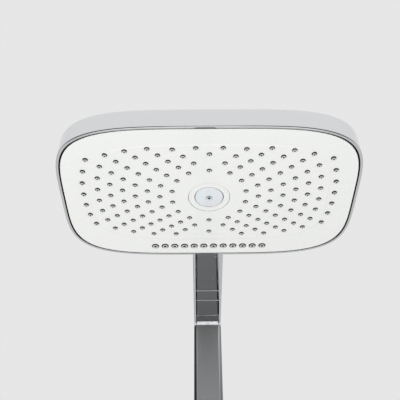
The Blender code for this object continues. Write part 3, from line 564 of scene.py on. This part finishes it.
def ring_point(ring, angle):
    """Point in the first quarter of a nozzle ring; the outermost ring is a little wider."""
    half_x = (25.3 + 12.45 * ring + (2.3 if ring == len(NOZZLE_STEPS) else 0)) * MM
    half_y = (26.8 + 10.03 * ring) * MM
    return half_x * cos(angle) ** (2 / 2.4), half_y * sin(angle) ** (2 / 2.4)


def walk_ring(ring, distances):
    """Points at given distances along a quarter ring, from the side to the front or back."""
    found = []
    travelled = 0.0
    last = ring_point(ring, 0)
    targets = list(distances)
    fine = 720
    for step in range(1, fine + 1):
        here = ring_point(ring, min(pi / 2 * step / fine, pi / 2 - 1e-9))
        travelled += hypot(here[0] - last[0], here[1] - last[1])
        while targets and travelled >= targets[0]:
            found.append(here)
            targets.pop(0)
        last = here
    return found


def forward_shift(x, y):
    """How far a nozzle stands forward of its ring, more towards the rim."""
    return 0.7 * MM + 4.9 * MM * (x / (128 * MM)) ** 2 + 3.3 * MM * (y / (60 * MM)) ** 2


def nozzle_places():
    """Centres of the small nozzles about the head's centre, ring by ring, as in the CAD model."""
    places = []
    for ring, steps in enumerate(NOZZLE_STEPS, start=1):
        odd = ring % 2
        start = 0.5 if odd else 1.0
        quarter = walk_ring(ring, [NOZZLE_PITCH * (start + n) for n in range(steps)])
        places += [(sx * x, sy * y) for x, y in quarter for sx in (-1, 1) for sy in (-1, 1)]
        if not odd:
            side = ring_point(ring, 0)[0]
            places += [(side, 0.0), (-side, 0.0)]
        elif ring in (1, 3):
            middle = ring_point(ring, pi / 2)[1]
            places += [(0.0, middle), (0.0, -middle)]
        if ring == 4:                    # two more just inside this ring's front
            front = -ring_point(4, pi / 2)[1] + 3 * MM
            places += [(13 * MM, front), (-13 * MM, front)]
    return [(x, y - forward_shift(x, y)) for x, y in places]


def jet_places():
    middle = (JET_COUNT - 1) / 2
    return [((n - middle) * JET_PITCH, JET_Y) for n in range(JET_COUNT)]


# Head -----------------------------------------------------------------------------------
def make_housing():
    """Chrome shell: narrow lip round the face, tall side wall, rounded shoulder, nearly flat back."""
    outline = superellipse(HOUSING_HALF, CORNER_POWER)
    lip, lean, wall = 1.1 * MM, 0.3 * MM, 2.5 * MM
    shoulder, crown, ball_hole = 8.6 * MM, 1.2 * MM, 16.2 * MM
    back = HOUSING_HEIGHT - crown
    profile = [(3.0 * MM, 2.9 * MM), (2.65 * MM, 2.2 * MM), (2.65 * MM, 0.4 * MM),
               (2.58 * MM, 0.12 * MM)]
    profile += [(lip * (1 - sin(pi / 2 * k / 6)), lip * (1 - cos(pi / 2 * k / 6)))
                for k in range(7)]
    profile += [(0.0, 6 * MM), (lean / 2, 14 * MM)]
    profile += [(lean + (shoulder - lean) * (1 - cos(pi / 2 * k / 10)),
                 back - (shoulder - lean - crown) * (1 - sin(pi / 2 * k / 10))) for k in range(11)]
    rings = [at_height(inset_outline(outline, inset), height) for inset, height in profile]
    shoulder_end = rings[-1]
    for t in (0.15, 0.35, 0.6, 0.85, 1.0):
        ring = []
        for x, y, z in shoulder_end:
            scale = 1 - t + t * ball_hole / hypot(x, y)
            ring.append((x * scale, y * scale, z + crown * (1 - (1 - t) ** 2)))
        rings.append(ring)
    rings.append([(x, y, z - wall) for x, y, z in rings[-1]])
    rings.append(at_height(inset_outline(outline, wall + shoulder - 2 * MM), back - wall))
    rings.append(at_height(inset_outline(outline, wall + 1.5 * MM), HOUSING_HEIGHT - 7 * MM))
    rings.append(at_height(inset_outline(outline, wall + 0.7 * MM), 3.2 * MM))
    work = bmesh.new()
    loft(work, rings, closed=True)
    piece = finish_piece(work, "head_shell", "chrome", "head", ("head_housing",), HEAD_PLACE, 38)
    # Painted shade: the lip's inner wall gets the black rubber look as the shade in the narrow gap
    # round the face. The rear stays chrome, where light falls into the gap.
    piece.data.materials.append(LOOKS["rubber"])
    for face in piece.data.polygons:
        inward = face.normal.dot(face.center) < -0.2 * face.center.length
        if inward and face.center.z < GAP_SHADE_DEPTH and face.center.y < GAP_SHADE_END:
            face.material_index = 1


def cut_away(piece, cutter):
    """Takes the cutter's shape out of a piece for good, and drops the cutter."""
    step = piece.modifiers.new("cut", "BOOLEAN")
    step.operation = "DIFFERENCE"
    step.solver = "EXACT"
    step.object = cutter
    bpy.context.view_layer.update()
    mesh = bpy.data.meshes.new_from_object(piece.evaluated_get(bpy.context.evaluated_depsgraph_get()))
    piece.modifiers.clear()
    piece.data = mesh
    bpy.data.objects.remove(cutter)


def make_face():
    """White plate with a soft outer edge, two shallow relief steps and all its holes."""
    sides, steps = 288, 6
    outline = superellipse(FACE_HALF, CORNER_POWER, sides)
    rings = [at_height(outline, FACE_THICKNESS)]
    rings += [at_height(inset_outline(outline, FACE_EDGE * (1 - cos(pi / 2 * k / steps))),
                        FACE_EDGE * (1 - sin(pi / 2 * k / steps))) for k in range(steps + 1)]
    depth = 0.0
    for rise, half, power in RELIEF:
        for inset, share in RELIEF_STEP:
            contour = superellipse((half[0] - inset, half[1] - inset), power, sides, RELIEF_SHIFT)
            rings.append(at_height(contour, depth - rise * share))
        depth -= rise
    for radius, height in ((WELL_RADIUS + 0.3 * MM, depth), (WELL_RADIUS, depth + 0.2 * MM),
                           (WELL_RADIUS, FACE_THICKNESS)):
        rings.append(at_height(superellipse((radius, radius), 2, sides), height))
    work = bmesh.new()
    loft(work, rings, closed=True)
    piece = finish_piece(work, "face_plate", "white_gloss", "head", ("spray_face",), HEAD_PLACE, 28)
    # Painted shade: the plate's outer side wall gets the black rubber look as the shade deep in the gap
    # under the lip. The rear edge stays white.
    piece.data.materials.append(LOOKS["rubber"])
    for face in piece.data.polygons:
        outward = face.normal.dot(face.center) > 0.2 * face.center.length
        outer = hypot(face.center.x, face.center.y) > 2 * WELL_RADIUS
        if outward and outer and face.center.z > FACE_EDGE and face.center.y < GAP_SHADE_END:
            face.material_index = 1
    work = bmesh.new()
    for places, radius, facets in ((nozzle_places(), NOZZLE_HOLE, 20), (jet_places(), JET_HOLE, 32)):
        for x, y in places:
            bmesh.ops.create_cone(work, cap_ends=True, segments=facets, radius1=radius,
                                  radius2=radius, depth=3 * FACE_THICKNESS,
                                  matrix=Matrix.Translation((x, y, 2 * MM)))
    mesh = bpy.data.meshes.new("holes")
    work.to_mesh(mesh)
    work.free()
    cutter = bpy.data.objects.new("holes", mesh)
    bpy.context.scene.collection.objects.link(cutter)
    cutter.location = HEAD_PLACE
    cut_away(piece, cutter)
    piece.data.set_sharp_from_angle(angle=radians(28))


def face_sheet(outline, hole=None):
    """Rings of a flat silicone sheet lying on the back of the plate."""
    low, high = FACE_THICKNESS + 0.3 * MM, FACE_THICKNESS + 1.5 * MM
    if hole is None:
        return [at_height(outline, low), at_height(outline, high)]
    return [at_height(outline, low), at_height(hole, low), at_height(hole, high),
            at_height(outline, high)]


def make_nozzles():
    """Silicone sheet behind the plate with a bored, round-tipped nub in every hole."""
    nub = scaled(((0.0, 3.8), (2.6, 3.8), (2.6, 1.3), (2.45, 1.1), (2.05, 1.0), (1.98, -0.6),
                  (1.85, -1.1), (1.55, -1.32), (1.2, -1.35), (0.9, -1.15), (0.75, -0.7), (0.7, 1.2),
                  (0.0, 1.2)))
    work = bmesh.new()
    for x, y in nozzle_places():
        add_turned(work, nub, 20, at=(x, y, -0.5 * MM))
    sheet = superellipse((134 * MM, 68 * MM), CORNER_POWER, 160, -5 * MM)
    hole = superellipse((21 * MM, 21 * MM), 2, 160)
    loft(work, face_sheet(sheet, hole), closed=True)
    finish_piece(work, "silicone_nozzles", "silicone", "head", ("nozzle_mat",), HEAD_PLACE, 40)


def make_jets():
    """Rear row: wide shallow cups with a white collar and a bore that the silicone's painted shade
    makes dark.
    """
    cup = scaled(((0.0, 4.2), (4.0, 4.2), (4.0, 1.5), (3.8, 1.3), (2.8, 1.2), (2.7, -0.4), (2.5, -0.75),
                  (2.1, -0.9), (1.75, -0.8), (1.5, -0.5), (1.4, 0.2), (1.4, 2.6), (0.0, 2.6)))
    work = bmesh.new()
    for x, y in jet_places():
        add_turned(work, cup, 32, at=(x, y, 0))
    strip = [(x, y + JET_Y) for x, y in rounded_rectangle(65 * MM, 5.5 * MM, 2 * MM)]
    loft(work, face_sheet(strip))
    piece = finish_piece(work, "rear_jets", "silicone", "head", ("jet_strip",), HEAD_PLACE, 40)
    piece.data.materials[0] = LOOKS["jet_silicone"]


def make_button():
    """Shallow white ring, pale domed lens and the nozzle in its middle, dark where the silicone's
    painted shade lies in its collar and bore.
    """
    bezel = scaled(((21.0, 2.7), (21.0, 0.15), (20.8, -0.05), (20.4, -0.05), (20.0, 0.1), (19.0, 0.25),
                    (16.2, 0.25), (15.4, 0.0), (15.1, -0.1), (14.85, 0.2), (14.8, 2.7)))
    turned_piece("button_ring", bezel, 128, "white_gloss", "head", "button_bezel", HEAD_PLACE)
    rim, rise = 13.7, 0.75
    dome = [(r, -0.5 - rise * (1 - (r / rim) ** 2)) for r in (rim, 13, 12, 10.5, 8.5, 6.5, 4.5, 3.1)]
    lens = scaled([(4.0, 8.4), (4.0, 2.6), (13.9, 2.6), (14.25, 2.2), (14.25, 0.35),
                   (14.1, -0.15)] + dome + [(2.9, -0.9), (2.9, 1.0), (1.2, 1.0), (1.2, 8.4)])
    turned_piece("button_lens", lens, 128, "clear_button", "button", "select_button", HEAD_PLACE)
    tip = scaled(((2.75, 0.7), (2.75, -1.4), (2.6, -1.75), (2.2, -1.9), (1.7, -1.8), (1.1, -1.3),
                  (0.9, -0.9), (0.85, 0.7)))
    turned_piece("button_nozzle", tip, 48, "silicone", "button", "centre_nozzle", HEAD_PLACE)


def make_ball_joint():
    """Chrome nut under the arm and the stud whose ball it holds."""
    centre = (HEAD_X, HEAD_Y, BALL_Z)
    nut = scaled(((14.6, 0.3), (15.2, 0.5), (15.6, 1.0), (15.6, 6.0), (15.2, 7.0), (14.0, 7.9),
                  (12.9, 8.3), (8.8, 8.3), (8.2, 8.0), (7.8, 6.2), (7.8, 5.6), (8.7, 3.9),
                  (9.6, 0.3)))
    turned_piece("ball_joint_nut", nut, 96, "chrome", "head", "ball_nut", centre)
    ball = arc(9 * MM, -64, 52, 24)
    stud = ball + scaled(((5.5, 7.6), (5.5, 11.6), (6.0, 12.2), (6.0, 21.4), (4.2, 21.4), (4.2, 15.0),
                          (3.4, 15.0), (3.4, -7.9)))
    turned_piece("ball_joint_stud", stud, 64, "chrome", "ball_stud", "ball_stud", centre)


# Arm and column -------------------------------------------------------------------------
BAR_CORNER = 2.6 * MM
COLUMN_CORNER = 4 * MM
NECK_BEVEL = 3.6 * MM
AXIS_ALIGNED = 0.9999


def bar_piece(name, node, axis, corner, rounding, slot="chrome", low=None, high=None, edges=None):
    """Bar that fills a CAD node's box along one axis; its edges may have a look of their own."""
    middle, half = box_middle(node)
    along = "XYZ".index(axis)
    across = [k for k in range(3) if k != along]
    start = middle[along] - half[along] if low is None else low
    end = middle[along] + half[along] if high is None else high
    work = bmesh.new()
    add_bar(work, half[across[0]], half[across[1]], corner, start, end, rounding, axis,
            (middle[across[0]], middle[across[1]]))
    piece = finish_piece(work, name, slot, "column", (node,))
    if edges:
        piece.data.materials.append(LOOKS[edges])
        for face in piece.data.polygons:
            face.material_index = int(max(abs(part) for part in face.normal) < AXIS_ALIGNED)


def make_arm():
    """Square arm in three lengths with a collar between, and the root that turns down to the column."""
    bar_piece("arm_bar", "arm_tube", "Y", BAR_CORNER, 0.35 * MM)
    cap_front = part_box("arm_end_cap")[0].y
    bar_piece("arm_cap", "arm_end_cap", "Y", BAR_CORNER, (1.6 * MM, 0.3 * MM), high=cap_front + 2 * MM)
    bar_piece("arm_band", "arm_collar", "Y", BAR_CORNER, 0.6 * MM)
    middle, half = box_middle("arm_tube")
    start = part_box("arm_collar")[1].y + 0.3 * MM
    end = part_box("arm_elbow")[1].y
    work = bmesh.new()
    add_bar(work, half.x, half.z, BAR_CORNER, start, end, (0.5 * MM, 1.6 * MM), "Y",
            (middle.x, middle.z))
    add_neck(work, half.x, middle.z - half.z)
    finish_piece(work, "arm_root", "chrome", "column", ("arm_elbow",), angle=20)


def add_neck(work, half, top):
    """Short neck between column and arm: as wide as the column, its front face leaning back."""
    low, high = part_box("column_tube")
    middle = (low.y + high.y) / 2
    depth = high.y - low.y
    start = high.z + 0.25 * MM
    edge = start + 0.5 * MM
    rings = []
    for z, inset in ((start, 0.5 * MM), (start + 0.2 * MM, 0.15 * MM), (edge, 0.0),
                     (top + 0.6 * MM, 0.0)):
        lean = max(0.0, NECK_BEVEL * (z - edge) / (top - edge))
        outline = rounded_rectangle(half - inset, depth / 2 - inset, COLUMN_CORNER - inset)
        rings.append([(x, high.y + (middle + y - high.y) * (1 - lean / depth), z) for x, y in outline])
    loft(work, rings)


def make_column():
    """Satin column with polished edges, and the two parts of its wall bracket."""
    bar_piece("column_bar", "column_tube", "Z", COLUMN_CORNER, 0.4 * MM, "satin_metal",
              edges="chrome")
    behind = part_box("column_tube")[1].y + 0.3 * MM
    bar_piece("bracket_block", "wall_bracket", "Y", 3 * MM, 0.6 * MM, low=behind)
    bar_piece("bracket_back", "bracket_plate", "Y", 3 * MM, 0.5 * MM, slot="steel")


# Valve ----------------------------------------------------------------------------------
VALVE_HALF_HEIGHT = 22
VALVE_CORNER = 7 * MM


def make_valve():
    """Bar valve body; gives the height and depth of its axis. The CAD box also holds its port."""
    low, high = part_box("valve_body")
    half_z = VALVE_HALF_HEIGHT * MM
    middle = ((low.y + high.y) / 2, low.z + half_z)
    work = bmesh.new()
    add_bar(work, (high.y - low.y) / 2, half_z, VALVE_CORNER, low.x, high.x, 1.2 * MM, "X", middle, 6)
    finish_piece(work, "valve_shell", "chrome", "column", ("valve_body",))
    return middle


def make_knob(node, name, body, side, middle):
    """Turned knob with a soft rim, a shallow grip groove and a recessed centre screw."""
    low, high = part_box(node)
    base = (low.x if side > 0 else -high.x) / MM
    tip = (high.x if side > 0 else -low.x) / MM
    knob = scaled([(20.2, base), (20.8, base + 0.6), (21, base + 1.2), (21, base + 9),
                   (20.6, base + 9.5), (20.6, base + 10.5), (21, base + 11), (21, tip - 3.4),
                   (20.7, tip - 2), (20, tip - 0.9), (18.6, tip - 0.2), (16.5, tip), (4.4, tip),
                   (4.0, tip - 0.4), (4.0, tip - 6), (2, tip - 6), (2, tip - 12), (5.4, tip - 12),
                   (5.4, base + 8), (13.4, base + 8), (13.4, base)])
    turned_piece(name, knob, 128, "chrome", body, node, axis="X" if side > 0 else "-X",
                 through=(0, *middle), angle=35)


def make_valve_trim(middle):
    """Domed wall roses and the threaded outlet for a hose."""
    rose = scaled(((12.6, -10.6), (12.9, -11.0), (20.0, -10.9), (24.5, -10.3), (27.5, -8.8),
                   (29.6, -6.4), (30.7, -3.6), (31.0, -1.4), (30.7, -1.0), (29.6, -1.0),
                   (28.9, -3.0), (27, -6.6), (24, -8.6), (12.6, -9.2)))
    for tag in ("left", "right"):
        centre = box_middle("escutcheon_" + tag)[0]
        turned_piece("wall_rose_" + tag, rose, 96, "chrome", "column", "escutcheon_" + tag,
                     axis="Y", through=(centre.x, 0, centre.z), angle=35)
    centre = box_middle("hose_outlet")[0]
    top = -VALVE_HALF_HEIGHT
    crest, root, thread_pitch = 10.3, 9.6, 2
    threads = []
    for turn in range(5):
        z = top - 5.4 - thread_pitch * turn
        threads += [(crest, z), (root, z - 0.7), (root, z - 0.9), (crest, z - 1.6)]
    nipple = scaled([(8, top + 8), (8, top - 0.3), (12.2, top - 0.3), (12.5, top - 0.6),
                     (12.5, top - 3.7), (12.2, top - 4), (crest, top - 4.4)] + threads +
                    [(9.9, top - 15), (6, top - 15), (6, top + 8)], lift=middle[1])
    turned_piece("hose_nipple", nipple, 64, "chrome", "column", "hose_outlet",
                 through=(centre.x, centre.y, 0), angle=35)


# Finish ---------------------------------------------------------------------------------
def paint_cad_nodes():
    """Gives every CAD node the look of its slot in the record."""
    slots = {row["node"]: row["material_slot"] for row in frame["record"]["subparts"]}
    for name, node in frame["nodes"].items():
        node.data.materials.clear()
        node.data.materials.append(LOOKS[slots[name]])


make_stage()
LOOKS = make_looks()
paint_cad_nodes()
make_housing()
make_face()
make_nozzles()
make_jets()
make_button()
make_ball_joint()
make_arm()
make_column()
VALVE_MIDDLE = make_valve()
make_knob("temperature_knob", "temperature_grip", "temperature_knob", -1, VALVE_MIDDLE)
make_knob("flow_knob", "flow_grip", "flow_knob", 1, VALVE_MIDDLE)
make_valve_trim(VALVE_MIDDLE)
